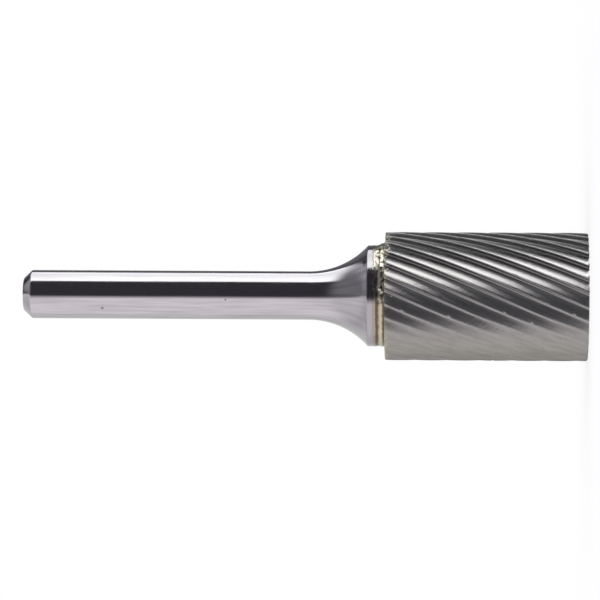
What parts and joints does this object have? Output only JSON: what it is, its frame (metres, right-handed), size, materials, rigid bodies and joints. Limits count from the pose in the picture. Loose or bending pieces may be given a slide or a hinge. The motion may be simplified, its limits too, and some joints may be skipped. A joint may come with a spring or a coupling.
{
  "type": "carbide burr",
  "caption": "Cylindrical single-cut rotary burr: a fluted tungsten carbide head brazed to a plain round steel shank, for grinding and deburring metal.",
  "frame": {"origin": "centre of the flat front end face of the head, on which the burr stands", "axes": "+Z along the burr's axis, from the head to the end of the shank; +X and +Y have no special direction"},
  "size_m": [0.016, 0.016, 0.07],
  "materials": {
    "turned_steel": "ground and polished, with faint turning marks on the neck",
    "brazing_alloy": "as flowed, lumpy and slightly scorched",
    "ground_carbide": "ground tungsten carbide with fine grinding lines"
  },
  "bodies": {
    "root": {"shank": "turned_steel", "braze": "brazing_alloy", "head": "ground_carbide"}
  },
  "joints": []
}
